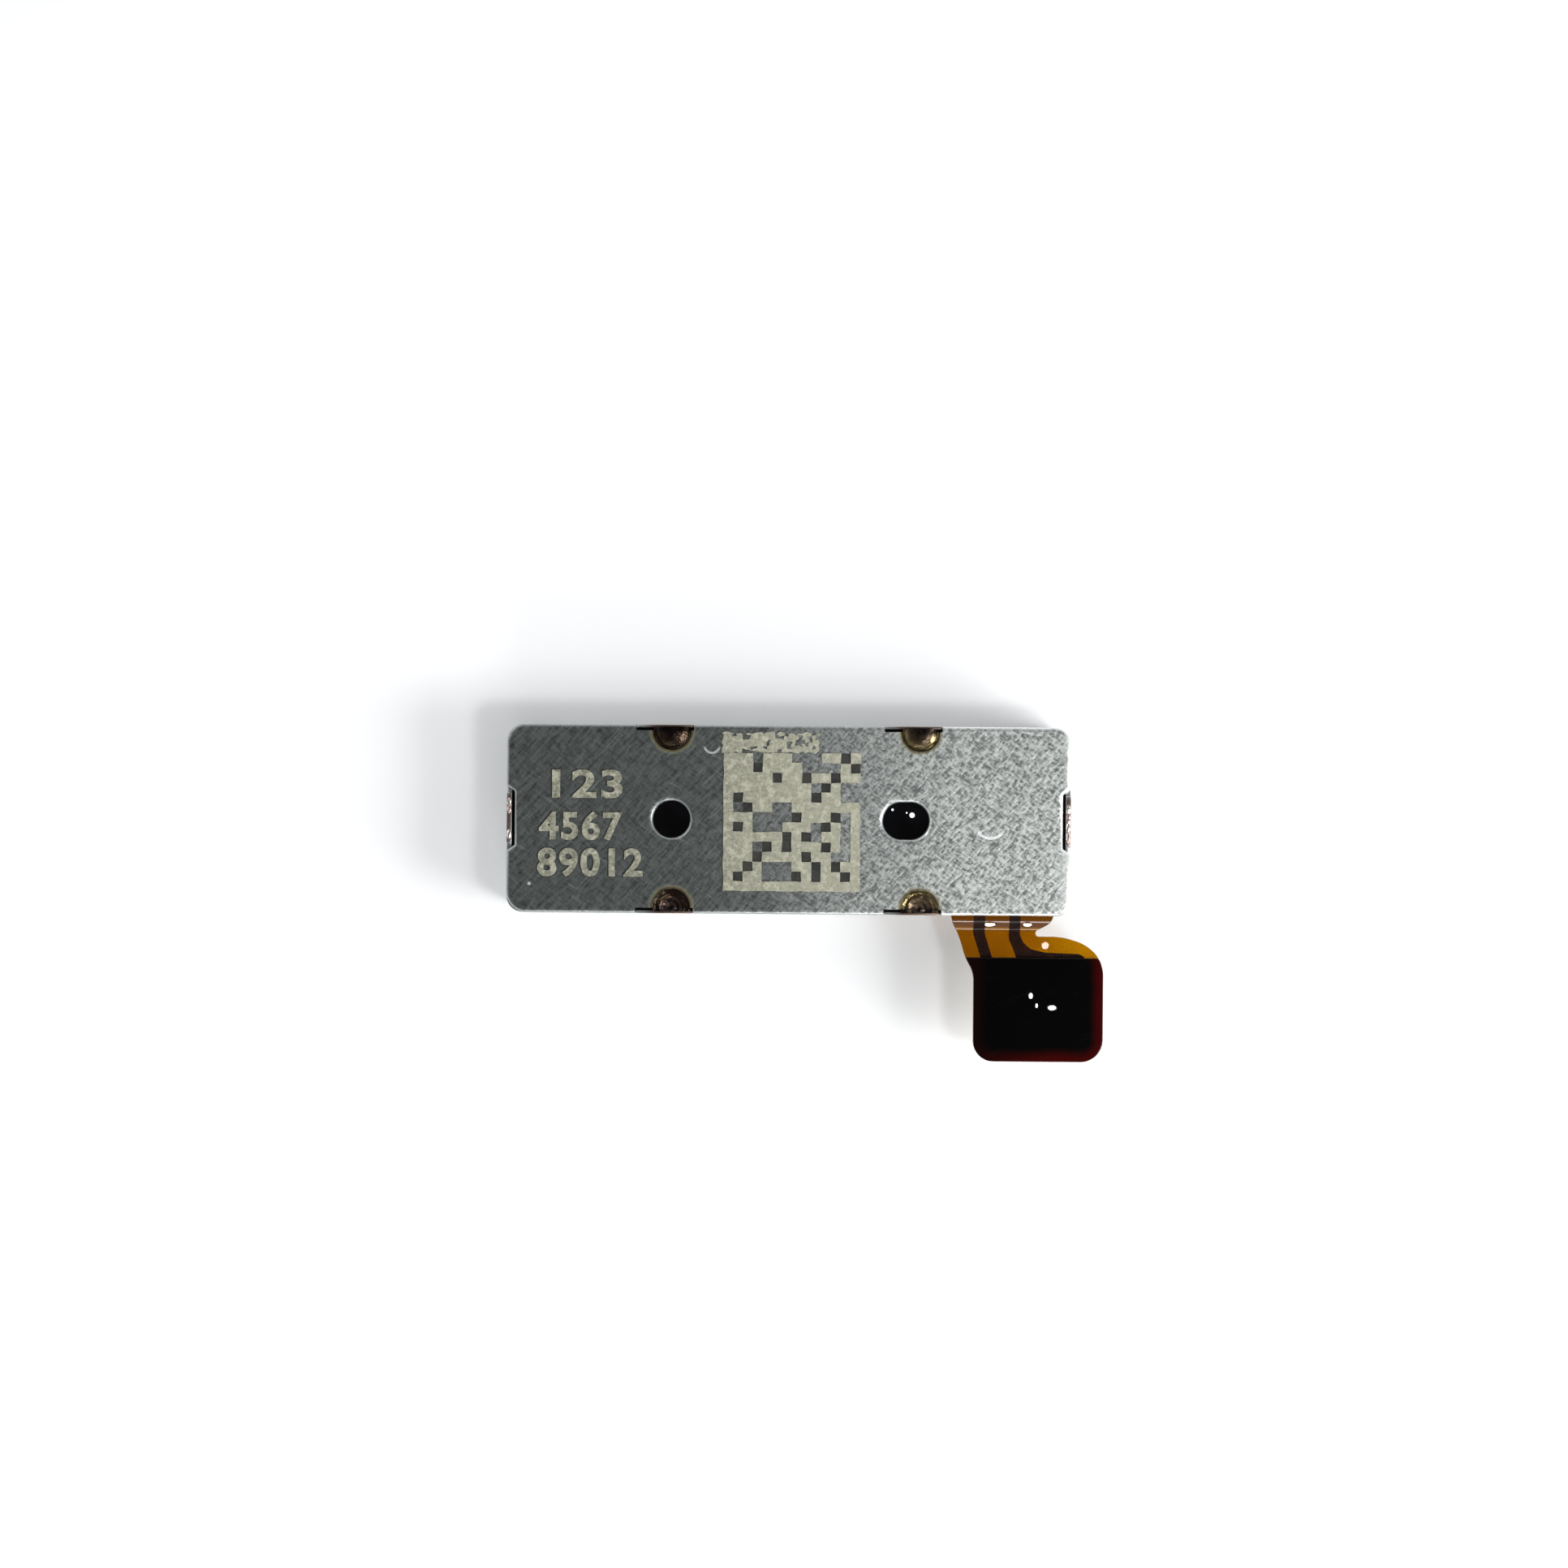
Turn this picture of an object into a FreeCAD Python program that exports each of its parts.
"""A rectangular linear vibration motor with a flexible tail, as a parametric document.

A drawn steel case lies on its floor and a stamped cover plate closes it. A flexible circuit is
glued under the cover and carries two flat coils. A tungsten weight with three magnets slides
along X between two V springs. The circuit leaves the case through a slot in the front wall, bends
down at its neck, and ends in a stiffened tail with two contact lands.

Frame: +X along the case, +Z up through the cover, origin at the centre of the case's underside.
The front wall, where the tail leaves, faces -Y. Everything is in millimetres.
"""

import FreeCAD
import Part
import Sketcher
import math
import os
import re

DIMENSIONS = {
    # case and cover
    "case_length": 19.0,
    "case_width": 6.35,
    "case_height": 2.85,
    "case_wall": 0.17,
    "case_corner_radius": 0.55,
    "case_floor_radius": 0.35,
    "cover_thickness": 0.25,
    "cover_edge_radius": 0.12,
    # locating round hole and slot in the cover, one over each coil
    "pin_hole_offset": 3.95,
    "pin_hole_radius": 0.625,
    "pin_slot_travel": 0.31,
    "flex_hole_margin": 0.15,
    # case tabs that stand in notches of the cover, and their welds
    "side_tab_offset": 4.18,
    "side_tab_length": 1.85,
    "end_tab_length": 1.70,
    "tab_drop": 0.12,
    "tab_end_gap": 0.05,
    "side_notch_gap": 0.02,
    "end_notch_gap": 0.10,
    "end_notch_slant": 0.20,
    "weld_radius": 0.64,
    "weld_crown": 0.05,
    "weld_inset": 0.08,
    "weld_shift": 0.24,
    "end_weld_length": 1.10,
    # flexible circuit
    "flex_thickness": 0.10,
    "flex_side_gap": 0.405,
    "flex_end_gap": 1.33,
    "flex_slot_gap": 0.02,
    "flex_slot_side_gap": 0.08,
    "neck_end_distance": 2.45,
    "neck_width": 2.56,
    "neck_flare_near": 0.31,
    "neck_flare_far": 0.63,
    "neck_flare_length": 0.48,
    "neck_stub": 0.03,
    "neck_bend_radius": 0.25,
    "neck_angle": 40.0,
    "neck_drop": 0.27,
    # tail
    "tail_offset": 1.41,
    "tail_width": 4.38,
    "tail_length": 4.20,
    "tail_shoulder": 0.13,
    "tail_waist": 0.29,
    "tail_waist_length": 0.50,
    "tail_corner_near": 0.65,
    "tail_corner_far": 0.75,
    "tail_corner_top": 1.10,
    "tail_notch_radius": 0.12,
    "base_film_thickness": 0.04,
    "copper_thickness": 0.02,
    "stiffener_thickness": 0.20,
    "stiffener_setback": 0.69,
    "land_pitch": 2.20,
    "land_width": 1.20,
    "land_length": 2.85,
    "land_setback": 0.90,
    "land_proud": 0.01,
    "land_edge": 0.10,
    "trace_width": 0.36,
    "trace_pitch": 1.22,
    "trace_jog": 0.17,
    "trace_gap": 0.16,
    # coils
    "coil_length": 4.90,
    "coil_side_margin": 0.25,
    "coil_thickness": 0.50,
    "coil_window_length": 1.90,
    "coil_window_width": 1.90,
    "coil_corner_radius": 1.30,
    "coil_window_radius": 0.35,
    "solder_radius": 0.22,
    "solder_offset": 0.95,
    "solder_inset": 1.15,
    "lead_diameter": 0.08,
    # moving weight
    "spring_room": 2.03,
    "weight_side_gap": 0.405,
    "floor_clearance": 0.28,
    "air_gap": 0.20,
    "weight_edge": 0.12,
    "yoke_thickness": 0.20,
    "yoke_end_margin": 0.50,
    "yoke_side_margin": 0.30,
    "glue_gap": 0.02,
    "magnet_side_wall": 0.50,
    "magnet_end_wall": 0.70,
    "middle_magnet_length": 5.50,
    "outer_magnet_length": 1.90,
    "magnet_edge": 0.08,
    # springs, clamps and bumpers
    "travel": 0.50,
    "spring_thickness": 0.15,
    "spring_height": 1.10,
    "spring_leg": 1.15,
    "spring_corner_gap": 0.02,
    "spring_tip_radius": 0.24,
    "spring_joint_radius": 0.30,
    "clamp_thickness": 0.15,
    "clamp_length": 0.85,
    "clamp_height": 0.90,
    "bumper_width": 2.60,
    "bumper_gap": 0.05,
    "bumper_height": 0.60,
}

doc = FreeCAD.newDocument("vibration_motor")
sheet = doc.addObject("Spreadsheet::Sheet", "Dims")
pieces = []


def fill_sheet():
    """Writes every driving dimension into the sheet: its name in column A, its value in column B."""
    for row, (name, value) in enumerate(DIMENSIONS.items(), start=1):
        sheet.set(f"A{row}", name)
        sheet.set(f"B{row}", str(value))
        sheet.setAlias(f"B{row}", name)
    doc.recompute()


def bound(text):
    """An expression written with bare dimension names, as FreeCAD reads it from the sheet."""
    return re.sub(r"[a-z]+(?:_[a-z]+)*", lambda m: f"Dims.{m[0]}" if m[0] in DIMENSIONS else m[0], text)


def value(text):
    """The number that such an expression has now."""
    found = sheet.evalExpression(bound(text))
    return float(getattr(found, "Value", found))


def named(obj, label):
    """Gives a sub-part its label and puts it on the list of pieces to write out."""
    obj.Label = label
    pieces.append(obj)
    return obj


def new_body(label):
    return named(doc.addObject("PartDesign::Body", label), label)


def new_sketch(body, plane="XY_Plane", height="0"):
    """A sketch on one of the body's own origin planes, raised along that plane's normal."""
    sketch = body.newObject("Sketcher::SketchObject", body.Name + "_sketch")
    support = next(f for f in body.Origin.OriginFeatures if f.Role == plane)
    sketch.AttachmentSupport = [(support, "")]
    sketch.MapMode = "FlatFace"
    sketch.setExpression("AttachmentOffset.Base.z", bound(height))
    return sketch


def fix_point(sketch, geometry, point, x, y):
    """Holds one point of a sketch at a place given by two expressions."""
    for kind, text in (("DistanceX", x), ("DistanceY", y)):
        number = sketch.addConstraint(Sketcher.Constraint(kind, -1, 1, geometry, point, value(text)))
        sketch.setExpression(f"Constraints[{number}]", bound(text))


def draw_polygon(sketch, corners):
    """A closed outline through corners, each held where its two expressions say."""
    places = [FreeCAD.Vector(value(x), value(y), 0) for x, y in corners]
    first = sketch.GeometryCount
    for i, place in enumerate(places):
        sketch.addGeometry(Part.LineSegment(place, places[(i + 1) % len(places)]), False)
    for i, (x, y) in enumerate(corners):
        before = first + (i - 1) % len(corners)
        sketch.addConstraint(Sketcher.Constraint("Coincident", before, 2, first + i, 1))
        fix_point(sketch, first + i, 1, x, y)


def draw_rectangle(sketch, x, y, length, width):
    """A rectangle about the point x, y."""
    low_x, high_x = f"({x}) - ({length}) / 2", f"({x}) + ({length}) / 2"
    low_y, high_y = f"({y}) - ({width}) / 2", f"({y}) + ({width}) / 2"
    draw_polygon(sketch, [(low_x, low_y), (high_x, low_y), (high_x, high_y), (low_x, high_y)])


def draw_circle(sketch, x, y, radius):
    centre = FreeCAD.Vector(value(x), value(y), 0)
    circle = sketch.addGeometry(Part.Circle(centre, FreeCAD.Vector(0, 0, 1), value(radius)), False)
    fix_point(sketch, circle, 3, x, y)
    number = sketch.addConstraint(Sketcher.Constraint("Radius", circle, value(radius)))
    sketch.setExpression(f"Constraints[{number}]", bound(radius))


def draw_slot(sketch, x, y, radius, travel):
    """A slot along X: two half circles joined by two lines, all held by points and one radius."""
    left, right = value(f"({x}) - ({travel}) / 2"), value(f"({x}) + ({travel}) / 2")
    size, up = value(radius), FreeCAD.Vector(0, 0, 1)
    quarter = math.pi / 2
    right_arc = Part.ArcOfCircle(
        Part.Circle(FreeCAD.Vector(right, value(y), 0), up, size), -quarter, quarter
    )
    left_arc = Part.ArcOfCircle(
        Part.Circle(FreeCAD.Vector(left, value(y), 0), up, size), quarter, 3 * quarter
    )
    top = Part.LineSegment(right_arc.EndPoint, left_arc.StartPoint)
    bottom = Part.LineSegment(left_arc.EndPoint, right_arc.StartPoint)
    near, over, far, under = (sketch.addGeometry(g, False) for g in (right_arc, top, left_arc, bottom))
    for one, end, other, start in (
        (near, 2, over, 1),
        (over, 2, far, 1),
        (far, 2, under, 1),
        (under, 2, near, 1),
    ):
        sketch.addConstraint(Sketcher.Constraint("Tangent", one, end, other, start))
    fix_point(sketch, near, 3, f"({x}) + ({travel}) / 2", y)
    number = sketch.addConstraint(Sketcher.Constraint("DistanceX", -1, 1, far, 3, left))
    sketch.setExpression(f"Constraints[{number}]", bound(f"({x}) - ({travel}) / 2"))
    number = sketch.addConstraint(Sketcher.Constraint("Radius", near, size))
    sketch.setExpression(f"Constraints[{number}]", bound(radius))


def add_pad(body, sketch, length, both_ways=False):
    pad = body.newObject("PartDesign::Pad", body.Name + "_pad")
    pad.Profile = sketch
    pad.Midplane = both_ways
    pad.setExpression("Length", bound(length))
    doc.recompute()
    return pad


def add_pocket(body, sketch, depth=None, both_ways=False):
    """Cuts against the sketch's normal, or right through when no depth is given."""
    before = body.Shape.Volume
    pocket = body.newObject("PartDesign::Pocket", body.Name + "_pocket")
    pocket.Profile = sketch
    pocket.Midplane = both_ways
    if depth is None:
        pocket.Type = "ThroughAll"
    else:
        pocket.setExpression("Length", bound(depth))
    doc.recompute()
    if not body.Shape.Volume < before:
        raise RuntimeError(f"{pocket.Name} cuts nothing")
    return pocket


def edge_names(shape, rule):
    return [f"Edge{i}" for i, edge in enumerate(shape.Edges, start=1) if rule(edge)]


def upright_at(*places):
    """Picks the upright edges, or only those that stand at one of the places given."""
    spots = [(value(x), value(y)) for x, y in places]

    def rule(edge):
        box, centre = edge.BoundBox, edge.CenterOfMass
        if box.XLength > 1e-6 or box.YLength > 1e-6:
            return False
        return not spots or any(math.hypot(centre.x - x, centre.y - y) < 1e-4 for x, y in spots)

    return rule


def level_at(height):
    """Picks the edges that lie flat at a height."""
    level = value(height)
    return lambda edge: abs(edge.BoundBox.ZMin - level) < 1e-6 and abs(edge.BoundBox.ZMax - level) < 1e-6


def along_x_at(y, z):
    """Picks the edge that runs along X at one y and z."""
    across, level = value(y), value(z)

    def rule(edge):
        box = edge.BoundBox
        if box.YLength > 1e-6 or box.ZLength > 1e-6:
            return False
        return math.hypot(box.YMin - across, box.ZMin - level) < 1e-4

    return rule


def dress(body, kind, size_property, rule, size):
    base = body.Tip
    feature = body.newObject(f"PartDesign::{kind}", f"{body.Name}_{kind.lower()}")
    feature.Base = (base, edge_names(base.Shape, rule))
    feature.setExpression(size_property, bound(size))
    doc.recompute()
    return feature


def round_edges(body, rule, radius):
    return dress(body, "Fillet", "Radius", rule, radius)


def bevel_edges(body, rule, size):
    return dress(body, "Chamfer", "Size", rule, size)


def hollow_out(body, mouth_height, wall):
    """Shells a body inward to a wall thickness, open at its flat face at a height."""
    base = body.Tip
    level = value(mouth_height)
    faces = enumerate(base.Shape.Faces, start=1)
    mouth = [f"Face{i}" for i, face in faces if face.BoundBox.ZMin > level - 1e-6]
    shell = body.newObject("PartDesign::Thickness", body.Name + "_walls")
    shell.Base = (base, mouth)
    shell.Reversed = True
    shell.setExpression("Value", bound(wall))
    doc.recompute()


def block(label, x, y, z, length, width, height):
    """A plain padded block centred on x, y, that stands on z."""
    body = new_body(label)
    outline = new_sketch(body, height=z)
    draw_rectangle(outline, x, y, length, width)
    add_pad(body, outline, height)
    return body


def turned(body, degrees):
    """Turns a finished body about Z, for the end of the motor that is its half-turn twin."""
    body.Placement = FreeCAD.Placement(FreeCAD.Vector(), FreeCAD.Rotation(FreeCAD.Vector(0, 0, 1), degrees))
    return body


def primitive(kind, sizes, x, y, z):
    """A Part primitive with its sizes and its place bound to the sheet."""
    obj = doc.addObject(f"Part::{kind}", kind.lower())
    for name, text in sizes.items():
        obj.setExpression(name, bound(text))
    for axis, text in (("x", x), ("y", y), ("z", z)):
        obj.setExpression(f"Placement.Base.{axis}", bound(text))
    return obj


def group_of(label, members):
    """One node that holds several separate solids."""
    compound = named(doc.addObject("Part::Compound", label), label)
    compound.Links = members
    return compound


# Places that several pieces share, as expressions of the driving dimensions.
HALF_LENGTH = "case_length / 2"
HALF_WIDTH = "case_width / 2"
COVER_TOP = "case_height + cover_thickness"
WELD_FLOOR = "case_height + cover_thickness - tab_drop"
FLEX_BOTTOM = "case_height - flex_thickness"
FLEX_WIDTH = "(case_width - 2 * case_wall - 2 * flex_side_gap)"
FLEX_LEFT = "(-case_length / 2 + case_wall + flex_end_gap)"
COIL_WIDTH = f"({FLEX_WIDTH} - 2 * coil_side_margin)"
COIL_BOTTOM = "case_height - flex_thickness - coil_thickness"
WEIGHT_LENGTH = "(case_length - 2 * case_wall - 2 * spring_room)"
WEIGHT_WIDTH = "(case_width - 2 * case_wall - 2 * weight_side_gap)"
WEIGHT_BOTTOM = "case_wall + floor_clearance"
WEIGHT_HEIGHT = (
    "case_height - flex_thickness - coil_thickness - air_gap - case_wall - floor_clearance"
)
MAGNET_BOTTOM = "case_wall + floor_clearance + yoke_thickness"
MAGNET_HEIGHT = f"{WEIGHT_HEIGHT} - yoke_thickness"
MAGNET_WIDTH = f"({WEIGHT_WIDTH} - 2 * magnet_side_wall)"
OUTER_MAGNET_OFFSET = f"({WEIGHT_LENGTH} / 2 - magnet_end_wall - outer_magnet_length / 2)"
YOKE_LENGTH = f"({WEIGHT_LENGTH} - 2 * yoke_end_margin)"
YOKE_WIDTH = f"({WEIGHT_WIDTH} - 2 * yoke_side_margin)"
NECK_CENTRE = "(case_length / 2 - neck_end_distance)"
NECK_LEFT = f"({NECK_CENTRE} - neck_width / 2)"
NECK_RIGHT = f"({NECK_CENTRE} + neck_width / 2)"
FLARED_LEFT = f"({NECK_LEFT} - neck_flare_near)"
FLARED_RIGHT = f"({NECK_RIGHT} + neck_flare_far)"
FLARED_CENTRE = f"({FLARED_LEFT} + {FLARED_RIGHT}) / 2"
FLARED_WIDTH = f"({FLARED_RIGHT} - {FLARED_LEFT})"
SETBACK = "neck_bend_radius * tan(neck_angle / 2)"
NECK_START = "-case_width / 2 - neck_stub"
NECK_FIRST_CORNER = f"{NECK_START} - {SETBACK} - neck_stub"
NECK_SECOND_CORNER = f"{NECK_FIRST_CORNER} - neck_drop / tan(neck_angle)"
NECK_END = f"{NECK_SECOND_CORNER} - {SETBACK} - neck_stub"
TAIL_BOTTOM = "case_height - flex_thickness - neck_drop"
TAIL_TOP = "case_height - neck_drop"
TAIL_EDGE = f"({NECK_END} - tail_shoulder)"
TAIL_CENTRE = f"({NECK_CENTRE} + tail_offset)"
TAIL_LEFT = f"({TAIL_CENTRE} - tail_width / 2)"
TAIL_RIGHT = f"({TAIL_CENTRE} + tail_width / 2)"
TAIL_FRONT = f"({TAIL_EDGE} - tail_length)"
STIFFENER_BACK = f"({TAIL_EDGE} - stiffener_setback)"
LAND_TOP = f"({TAIL_EDGE} - land_setback)"
LAND_Y = f"({LAND_TOP} - land_length / 2)"
TABS = [(f"{sx} * side_tab_offset", sy) for sx in ("-1", "1") for sy in ("-1", "1")]
ENDS = (("left", 180), ("right", 0))
UP_TO_X = FreeCAD.Vector(0, 1, 0)


def make_case():
    """The drawn case: floor, four walls, six tabs on the rim and the slot for the circuit."""
    body = new_body("case_shell")
    outline = new_sketch(body)
    draw_rectangle(outline, "0", "0", "case_length", "case_width")
    add_pad(body, outline, "case_height")
    round_edges(body, upright_at(), "case_corner_radius")
    round_edges(body, level_at("0"), "case_floor_radius")
    hollow_out(body, "case_height", "case_wall")

    tabs = new_sketch(body, height="case_height")
    for x, side in TABS:
        draw_rectangle(tabs, x, f"{side} * ({HALF_WIDTH} - case_wall / 2)", "side_tab_length", "case_wall")
    for side in ("-1", "1"):
        x = f"{side} * ({HALF_LENGTH} - case_wall / 2)"
        draw_rectangle(tabs, x, "0", "case_wall", "end_tab_length")
    add_pad(body, tabs, "cover_thickness - tab_drop")

    slot = new_sketch(body, height="case_height")
    slot_length = f"{FLARED_WIDTH} + 2 * flex_slot_side_gap"
    draw_rectangle(slot, FLARED_CENTRE, f"-{HALF_WIDTH} + case_wall / 2", slot_length, "2 * case_wall")
    add_pocket(body, slot, "flex_thickness + flex_slot_gap")


def make_cover():
    """The stamped cover: notches round the tabs, a round hole, a slot and four weld seats."""
    body = new_body("cover_plate")
    outline = new_sketch(body, height="case_height")
    draw_rectangle(outline, "0", "0", "case_length", "case_width")
    add_pad(body, outline, "cover_thickness")
    round_edges(body, upright_at(), "case_corner_radius")
    round_edges(body, level_at(COVER_TOP), "cover_edge_radius")

    notches = new_sketch(body, height=COVER_TOP)
    notch_length = "side_tab_length + 2 * tab_end_gap"
    depth = "(case_wall + side_notch_gap)"
    for x, side in TABS:
        draw_rectangle(notches, x, f"{side} * {HALF_WIDTH}", notch_length, f"2 * {depth}")
    inner, outer = f"({HALF_LENGTH} - case_wall - end_notch_gap)", f"({HALF_LENGTH} + case_wall)"
    half_in = "(end_tab_length / 2 + tab_end_gap)"
    half_out = f"({half_in} + end_notch_slant)"
    for side in ("-1", "1"):
        draw_polygon(
            notches,
            [
                (f"{side} * {inner}", f"-{half_in}"),
                (f"{side} * {outer}", f"-{half_out}"),
                (f"{side} * {outer}", half_out),
                (f"{side} * {inner}", half_in),
            ],
        )
    add_pocket(body, notches)

    holes = new_sketch(body, height=COVER_TOP)
    draw_circle(holes, "-pin_hole_offset", "0", "pin_hole_radius")
    draw_slot(holes, "pin_hole_offset", "0", "pin_hole_radius", "pin_slot_travel")
    add_pocket(body, holes)

    seats = new_sketch(body, height=COVER_TOP)
    for x, side in TABS:
        draw_circle(seats, f"{x} + weld_shift", f"{side} * ({HALF_WIDTH} - weld_inset)", "weld_radius")
    add_pocket(body, seats, "tab_drop")


def make_edge_welds():
    """A domed weld bead over each side tab, cut flush with the case, and a flat run on each end tab."""
    beads = []
    sphere_radius = "(weld_radius ^ 2 + weld_crown ^ 2) / (2 * weld_crown)"
    for x, side in TABS:
        place = f"{x} + weld_shift", f"{side} * ({HALF_WIDTH} - weld_inset)"
        drum = primitive(
            "Cylinder",
            {"Radius": "weld_radius", "Height": "tab_drop + weld_crown"},
            *place,
            WELD_FLOOR,
        )
        dome = primitive(
            "Sphere", {"Radius": sphere_radius}, *place, f"{COVER_TOP} + weld_crown - {sphere_radius}"
        )
        keep = primitive(
            "Box",
            {"Length": "case_length", "Width": "case_width", "Height": COVER_TOP + " + weld_radius"},
            f"-{HALF_LENGTH}",
            f"-{HALF_WIDTH}",
            "0",
        )
        bead = doc.addObject("Part::MultiCommon", "bead")
        bead.Shapes = [drum, dome, keep]
        beads.append(bead)
    for side in ("-1", "1"):
        run = primitive(
            "Box",
            {"Length": "case_wall", "Width": "end_weld_length", "Height": "tab_drop / 2"},
            f"{side} * ({HALF_LENGTH} - case_wall / 2) - case_wall / 2",
            "-end_weld_length / 2",
            WELD_FLOOR,
        )
        beads.append(run)
    group_of("edge_welds", beads)


def make_flex_root():
    """The circuit's main leaf under the cover, with its leg out through the slot in the wall."""
    body = new_body("flex_root")
    leaf = new_sketch(body, height=FLEX_BOTTOM)
    draw_polygon(
        leaf,
        [
            (FLEX_LEFT, f"-{FLEX_WIDTH} / 2"),
            (FLARED_LEFT, f"-{FLEX_WIDTH} / 2"),
            (FLARED_LEFT, NECK_START),
            (FLARED_RIGHT, NECK_START),
            (FLARED_RIGHT, f"{FLEX_WIDTH} / 2"),
            (FLEX_LEFT, f"{FLEX_WIDTH} / 2"),
        ],
    )
    add_pad(body, leaf, "flex_thickness")
    holes = new_sketch(body, height="case_height")
    clear_radius = "pin_hole_radius + flex_hole_margin"
    draw_circle(holes, "-pin_hole_offset", "0", clear_radius)
    draw_slot(holes, "pin_hole_offset", "0", clear_radius, "pin_slot_travel")
    add_pocket(body, holes)


def make_flex_neck():
    """The free stretch that bends: a strip with two opposite bends, flared where it leaves the case."""
    body = new_body("flex_neck")
    ribbon = new_sketch(body, plane="YZ_Plane", height=FLARED_CENTRE)
    lean = "flex_thickness / 2 * tan(neck_angle / 2)"
    high, low = "case_height", FLEX_BOTTOM
    first_top, first_under = f"{NECK_FIRST_CORNER} - {lean}", f"{NECK_FIRST_CORNER} + {lean}"
    second_top, second_under = f"{NECK_SECOND_CORNER} - {lean}", f"{NECK_SECOND_CORNER} + {lean}"
    draw_polygon(
        ribbon,
        [
            (NECK_START, high),
            (first_top, high),
            (second_top, TAIL_TOP),
            (NECK_END, TAIL_TOP),
            (NECK_END, TAIL_BOTTOM),
            (second_under, TAIL_BOTTOM),
            (first_under, low),
            (NECK_START, low),
        ],
    )
    add_pad(body, ribbon, FLARED_WIDTH, both_ways=True)
    outside, inside = "neck_bend_radius + flex_thickness / 2", "neck_bend_radius - flex_thickness / 2"
    round_edges(body, along_x_at(first_top, high), outside)
    round_edges(body, along_x_at(first_under, low), inside)
    round_edges(body, along_x_at(second_top, TAIL_TOP), inside)
    round_edges(body, along_x_at(second_under, TAIL_BOTTOM), outside)

    trim = new_sketch(body, height="case_height + flex_thickness")
    for edge, side, flare in ((NECK_LEFT, "-1", "neck_flare_near"), (NECK_RIGHT, "1", "neck_flare_far")):
        beyond = f"{edge} + {side} * 2 * {flare}"
        past_end = f"{NECK_END} - neck_stub"
        draw_polygon(
            trim,
            [
                (f"{edge} + {side} * {flare}", NECK_START),
                (edge, f"{NECK_START} - neck_flare_length"),
                (edge, past_end),
                (beyond, past_end),
                (beyond, NECK_START),
            ],
        )
    add_pocket(body, trim)


def tail_outline():
    """The tail's outline: the neck, a waist on the left, a shoulder on the right and the wide end."""
    return [
        (NECK_LEFT, NECK_END),
        (f"{TAIL_LEFT} - tail_waist", STIFFENER_BACK),
        (TAIL_LEFT, f"{STIFFENER_BACK} - tail_waist_length"),
        (TAIL_LEFT, TAIL_FRONT),
        (TAIL_RIGHT, TAIL_FRONT),
        (TAIL_RIGHT, TAIL_EDGE),
        (NECK_RIGHT, TAIL_EDGE),
        (NECK_RIGHT, NECK_END),
    ]


def round_tail(body):
    """Rounds the three outer corners that every layer of the tail shares."""
    round_edges(body, upright_at((TAIL_LEFT, TAIL_FRONT)), "tail_corner_near")
    round_edges(body, upright_at((TAIL_RIGHT, TAIL_FRONT)), "tail_corner_far")
    round_edges(body, upright_at((TAIL_RIGHT, TAIL_EDGE)), "tail_corner_top")


def tail_film(label, bottom, thickness):
    body = new_body(label)
    outline = new_sketch(body, height=bottom)
    draw_polygon(outline, tail_outline())
    add_pad(body, outline, thickness)
    round_tail(body)
    round_edges(body, upright_at((NECK_RIGHT, TAIL_EDGE)), "tail_notch_radius")
    return body


def copper_outlines():
    """The two tracks with their lands: one straight down on the left, one round to the right."""
    left_land, right_land = f"({TAIL_CENTRE} - land_pitch / 2)", f"({TAIL_CENTRE} + land_pitch / 2)"
    left_track = f"({NECK_CENTRE} - trace_pitch / 2)"
    right_track = f"({NECK_CENTRE} + trace_pitch / 2)"
    half_land, half_track = "land_width / 2", "trace_width / 2"
    shelf_low = f"({LAND_TOP} + trace_gap)"
    shelf_high = f"({shelf_low} + trace_width * 2 / 3)"
    bottom = f"({LAND_TOP} - land_length)"
    left = [
        (f"{left_track} - {half_track}", NECK_END),
        (f"{left_track} + {half_track}", NECK_END),
        (f"{left_track} + {half_track} + trace_jog", shelf_low),
        (f"{left_land} + {half_land}", LAND_TOP),
        (f"{left_land} + {half_land}", bottom),
        (f"{left_land} - {half_land}", bottom),
        (f"{left_land} - {half_land}", LAND_TOP),
        (f"{left_track} - {half_track} + trace_jog", shelf_low),
    ]
    right = [
        (f"{right_track} - {half_track}", NECK_END),
        (f"{right_track} + {half_track}", NECK_END),
        (f"{right_track} + {half_track} + trace_jog", shelf_high),
        (f"{right_land} + {half_land} - trace_jog", shelf_high),
        (f"{right_land} + {half_land}", LAND_TOP),
        (f"{right_land} + {half_land}", bottom),
        (f"{right_land} - {half_land}", bottom),
        (f"{right_land} - {half_land}", shelf_low),
        (f"{right_track} - {half_track} + trace_jog", shelf_low),
    ]
    return left, right


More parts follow.
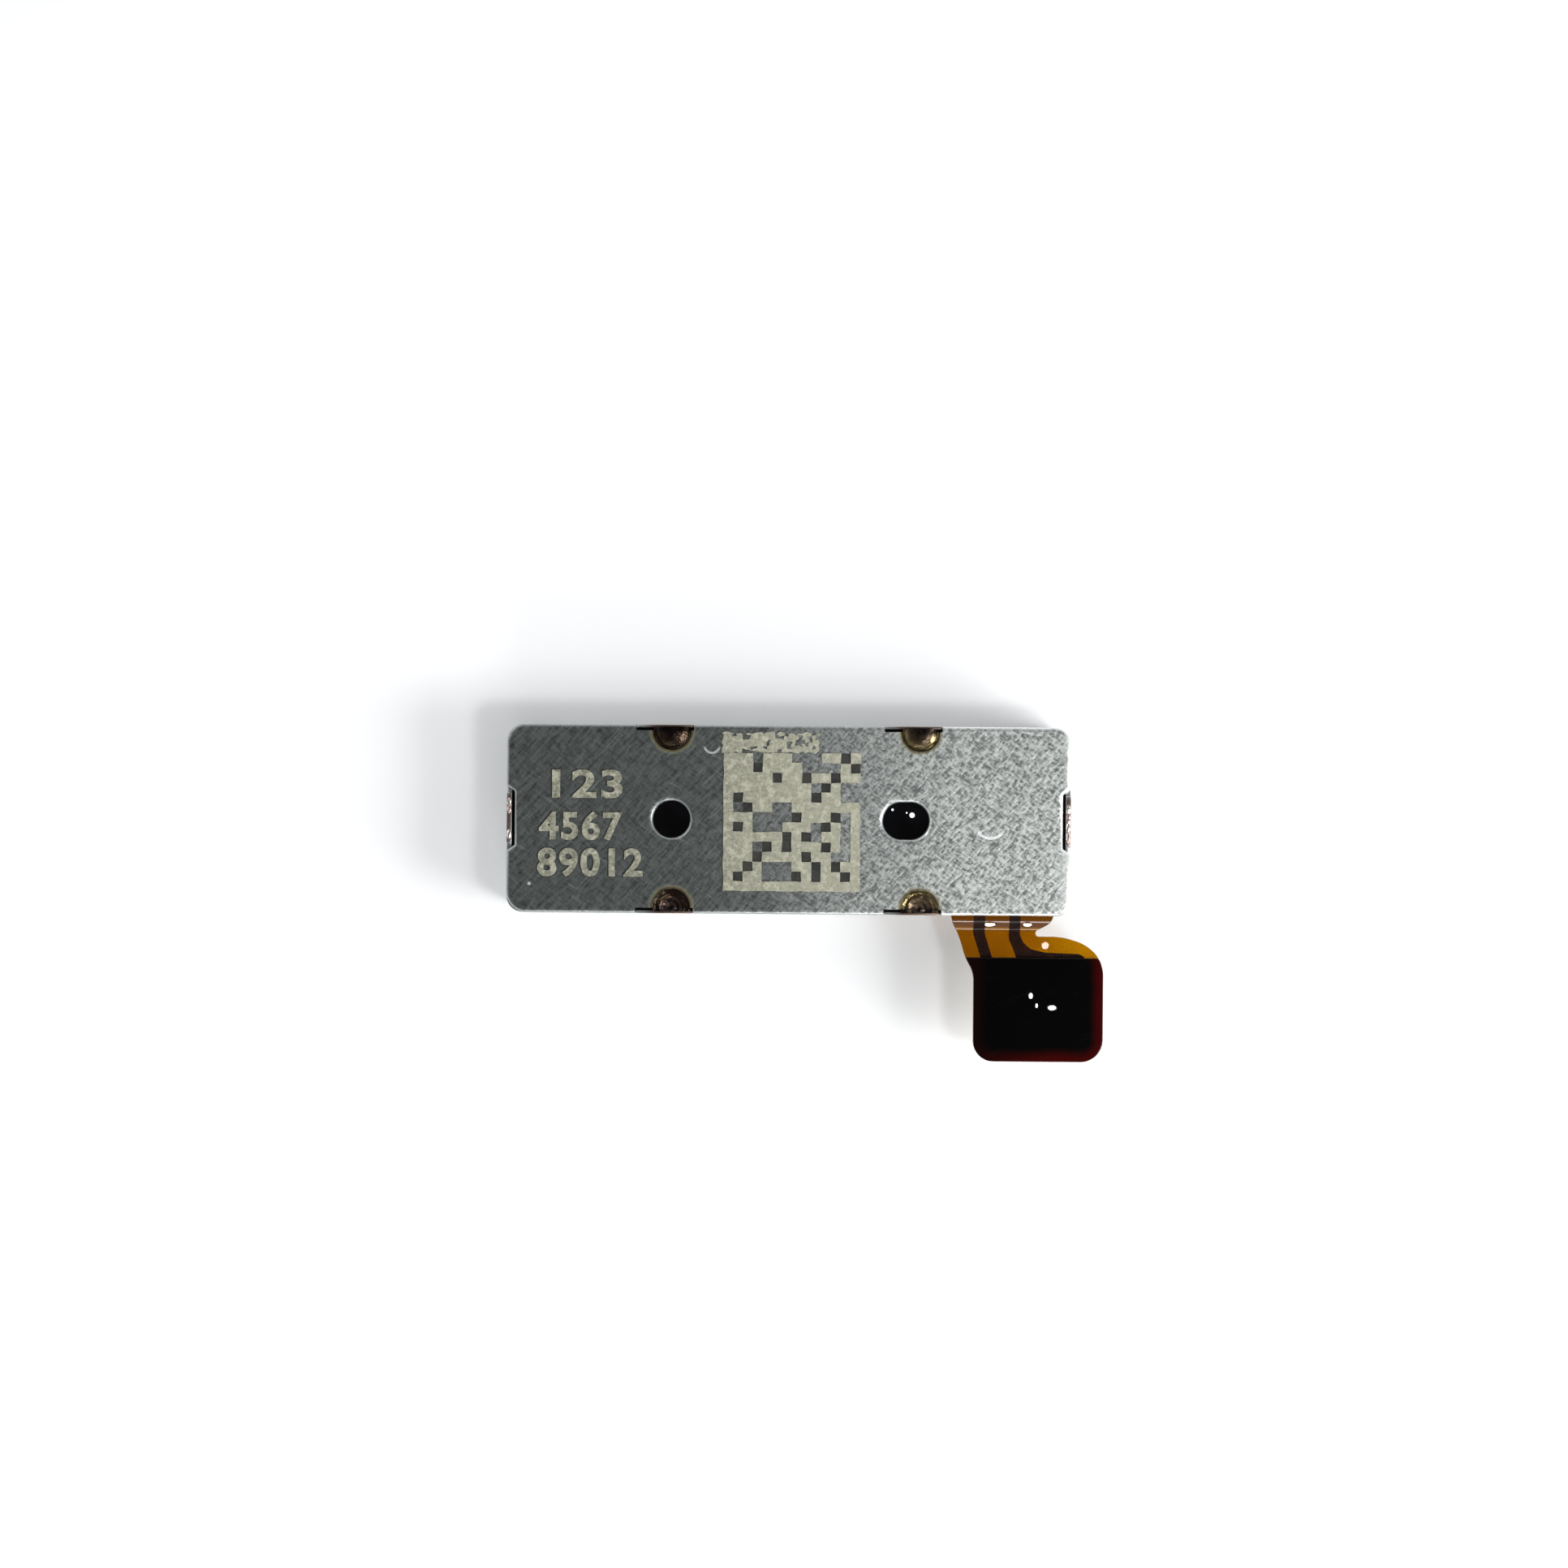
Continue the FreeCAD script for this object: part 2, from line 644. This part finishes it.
def make_tail():
    """The tail's layers: base film with two windows, copper, cover film, stiffener and lands."""
    window_width, window_length = "(land_width - 2 * land_edge)", "(land_length - 2 * land_edge)"
    places = [f"{TAIL_CENTRE} + {side} * land_pitch / 2" for side in ("-1", "1")]

    base = tail_film("tail_base_film", TAIL_BOTTOM, "base_film_thickness")
    windows = new_sketch(base, height=TAIL_TOP)
    for x in places:
        draw_rectangle(windows, x, LAND_Y, window_width, window_length)
    add_pocket(base, windows)

    copper_bottom = f"{TAIL_BOTTOM} + base_film_thickness"
    tracks = []
    for outline_points in copper_outlines():
        track = doc.addObject("PartDesign::Body", "track")
        outline = new_sketch(track, height=copper_bottom)
        draw_polygon(outline, outline_points)
        add_pad(track, outline, "copper_thickness")
        tracks.append(track)
    group_of("tail_copper_tracks", tracks)

    cover = tail_film("tail_cover_film", copper_bottom, "flex_thickness - base_film_thickness")
    grooves = new_sketch(cover, height=f"{copper_bottom} + copper_thickness")
    for outline_points in copper_outlines():
        draw_polygon(grooves, outline_points)
    add_pocket(cover, grooves, "copper_thickness")

    stiffener = block(
        "tail_stiffener",
        TAIL_CENTRE,
        f"{TAIL_EDGE} - tail_length / 2",
        TAIL_TOP,
        "tail_width",
        "tail_length",
        "stiffener_thickness",
    )
    round_tail(stiffener)
    back = new_sketch(stiffener, height=f"{TAIL_TOP} + stiffener_thickness")
    middle = f"{TAIL_EDGE} - stiffener_setback / 2 + land_edge"
    draw_rectangle(back, TAIL_CENTRE, middle, "2 * tail_width", "stiffener_setback + 2 * land_edge")
    add_pocket(stiffener, back)

    lands = []
    for x in places:
        land = primitive(
            "Box",
            {
                "Length": window_width,
                "Width": window_length,
                "Height": "base_film_thickness + land_proud",
            },
            f"{x} - {window_width} / 2",
            f"{LAND_Y} - {window_length} / 2",
            f"{TAIL_BOTTOM} - land_proud",
        )
        lands.append(land)
    group_of("contact_lands", lands)


def make_coils():
    """Two race-track coils, the black resin in their windows, their leads and solder joints."""
    resin = []
    for label, side in (("left_coil", "-1"), ("right_coil", "1")):
        centre = f"{side} * pin_hole_offset"
        body = new_body(label)
        outline = new_sketch(body, height=COIL_BOTTOM)
        draw_rectangle(outline, centre, "0", "coil_length", COIL_WIDTH)
        add_pad(body, outline, "coil_thickness")
        round_edges(body, upright_at(), "coil_corner_radius")
        window = new_sketch(body, height=FLEX_BOTTOM)
        draw_rectangle(window, centre, "0", "coil_window_length", "coil_window_width")
        add_pocket(body, window)
        corners = [
            (f"{centre} + {sx} * coil_window_length / 2", f"{sy} * coil_window_width / 2")
            for sx in ("-1", "1")
            for sy in ("-1", "1")
        ]
        round_edges(body, upright_at(*corners), "coil_window_radius")

        plug = doc.addObject("PartDesign::Body", "resin")
        outline = new_sketch(plug, height=f"{COIL_BOTTOM} + coil_thickness / 5")
        draw_rectangle(outline, centre, "0", "coil_window_length", "coil_window_width")
        add_pad(plug, outline, "coil_thickness * 4 / 5")
        round_edges(plug, upright_at(), "coil_window_radius")
        resin.append(plug)
    group_of("coil_resin", resin)

    joints, leads = [], []
    lead_z = f"{FLEX_BOTTOM} - lead_diameter"
    inner_side = "(pin_hole_offset - coil_length / 2)"
    for sx in ("-1", "1"):
        for sy in ("-1", "1"):
            place = f"{sx} * solder_offset", f"{sy} * ({COIL_WIDTH} / 2 - solder_inset)"
            joint = primitive("Sphere", {"Radius": "solder_radius"}, *place, FLEX_BOTTOM)
            joint.Angle1, joint.Angle2 = -90, 0
            joints.append(joint)
            lead = primitive(
                "Cylinder",
                {"Radius": "lead_diameter / 2", "Height": f"{inner_side} - solder_offset"},
                *place,
                lead_z,
            )
            lead.Placement = FreeCAD.Placement(lead.Placement.Base, FreeCAD.Rotation(UP_TO_X, 90 * int(sx)))
            leads.append(lead)
    group_of("solder_joints", joints)
    group_of("coil_leads", leads)


def make_weight():
    """The tungsten weight with three magnet windows, the steel yoke under it and the magnets."""
    body = new_body("tungsten_weight")
    outline = new_sketch(body, height=WEIGHT_BOTTOM)
    draw_rectangle(outline, "0", "0", WEIGHT_LENGTH, WEIGHT_WIDTH)
    add_pad(body, outline, WEIGHT_HEIGHT)
    bevel_edges(body, lambda edge: True, "weight_edge")
    weight_top = f"{WEIGHT_BOTTOM} + {WEIGHT_HEIGHT}"
    magnets = [
        ("left_magnet", f"-{OUTER_MAGNET_OFFSET}", "outer_magnet_length"),
        ("middle_magnet", "0", "middle_magnet_length"),
        ("right_magnet", OUTER_MAGNET_OFFSET, "outer_magnet_length"),
    ]
    windows = new_sketch(body, height=weight_top)
    for _label, x, length in magnets:
        draw_rectangle(windows, x, "0", f"{length} + 2 * glue_gap", f"{MAGNET_WIDTH} + 2 * glue_gap")
    add_pocket(body, windows)
    recess = new_sketch(body, height=MAGNET_BOTTOM)
    draw_rectangle(recess, "0", "0", f"{YOKE_LENGTH} + 2 * glue_gap", f"{YOKE_WIDTH} + 2 * glue_gap")
    add_pocket(body, recess, "yoke_thickness")

    block("yoke_plate", "0", "0", WEIGHT_BOTTOM, YOKE_LENGTH, YOKE_WIDTH, "yoke_thickness")
    for label, x, length in magnets:
        magnet = block(label, x, "0", MAGNET_BOTTOM, length, MAGNET_WIDTH, MAGNET_HEIGHT)
        bevel_edges(magnet, lambda edge: True, "magnet_edge")


def spring_outline(wall, face, side, leg_end):
    """A V seen from above: a leg on the wall, two slanted arms with a tip, a leg on the weight."""
    middle = f"(({wall} + {face}) / 2)"
    inner_tip = f"(-{side} + spring_thickness)"
    outline = [
        (wall, side),
        (wall, leg_end),
        (f"{middle} + spring_tip_radius", f"-{side}"),
        (f"{middle} - spring_tip_radius", f"-{side}"),
        (face, leg_end),
        (face, side),
        (f"{face} + spring_thickness", side),
        (f"{face} + spring_thickness", leg_end),
        (f"{middle} - spring_tip_radius + spring_thickness", inner_tip),
        (f"{middle} + spring_tip_radius - spring_thickness", inner_tip),
        (f"{wall} - spring_thickness", leg_end),
        (f"{wall} - spring_thickness", side),
    ]
    outer_corners, inner_corners = outline[2:4], outline[8:10]
    knees = [outline[1], outline[4], outline[7], outline[10]]
    return outline, outer_corners, inner_corners, knees


def make_suspension():
    """At each end: a V spring, a clamp welded over each of its legs, and a rubber bumper."""
    wall = f"({HALF_LENGTH} - case_wall)"
    face = f"({WEIGHT_LENGTH} / 2)"
    side = f"({HALF_WIDTH} - case_corner_radius - spring_corner_gap)"
    leg_end = f"({side} - spring_leg)"
    spring_z = f"({WEIGHT_BOTTOM} + {WEIGHT_HEIGHT} - spring_height)"
    clamp_z = f"{spring_z} + (spring_height - clamp_height) / 2"
    clamp_y = f"{side} - clamp_length / 2"
    clamp_sizes = "clamp_thickness", "clamp_length", "clamp_height"
    bumper_back = f"({wall} - case_floor_radius + case_wall)"
    reach = f"({bumper_back} - {face} - travel - bumper_gap)"

    for end, angle in ENDS:
        spring = new_body(f"{end}_spring")
        outline, outer_corners, inner_corners, knees = spring_outline(wall, face, side, leg_end)
        ribbon = new_sketch(spring, height=spring_z)
        draw_polygon(ribbon, outline)
        add_pad(spring, ribbon, "spring_height")
        round_edges(spring, upright_at(*outer_corners), "spring_tip_radius")
        round_edges(spring, upright_at(*inner_corners), "spring_tip_radius - spring_thickness")
        round_edges(spring, upright_at(*knees), "spring_joint_radius")
        turned(spring, angle)

        fixed_x = f"{wall} - spring_thickness - clamp_thickness / 2"
        moving_x = f"{face} + spring_thickness + clamp_thickness / 2"
        turned(block(f"{end}_fixed_clamp", fixed_x, clamp_y, clamp_z, *clamp_sizes), angle)
        turned(block(f"{end}_moving_clamp", moving_x, clamp_y, clamp_z, *clamp_sizes), angle)
        bumper_x = f"{bumper_back} - {reach} / 2"
        bumper_sizes = reach, "bumper_width", "bumper_height"
        turned(block(f"{end}_bumper", bumper_x, "0", "case_wall", *bumper_sizes), angle)


def write_pieces():
    """Checks every object and every piece, then writes one STEP file a piece."""
    doc.recompute()
    for obj in doc.Objects:
        if "Invalid" in obj.State or "Error" in obj.State:
            raise RuntimeError(f"{obj.Label} did not compute: {obj.State}")
    for piece in pieces:
        shape = piece.Shape
        if shape.isNull() or not shape.isValid() or not shape.Solids:
            raise RuntimeError(f"{piece.Label} has no valid solid")
    os.makedirs("parts", exist_ok=True)
    for piece in pieces:
        piece.Shape.exportStep(f"parts/{piece.Label}.step")
        print(f"{piece.Label}: {len(piece.Shape.Solids)} solid(s), {piece.Shape.Volume:.4f} mm3")


fill_sheet()
make_case()
make_cover()
make_edge_welds()
make_flex_root()
make_flex_neck()
make_tail()
make_coils()
make_weight()
make_suspension()
write_pieces()
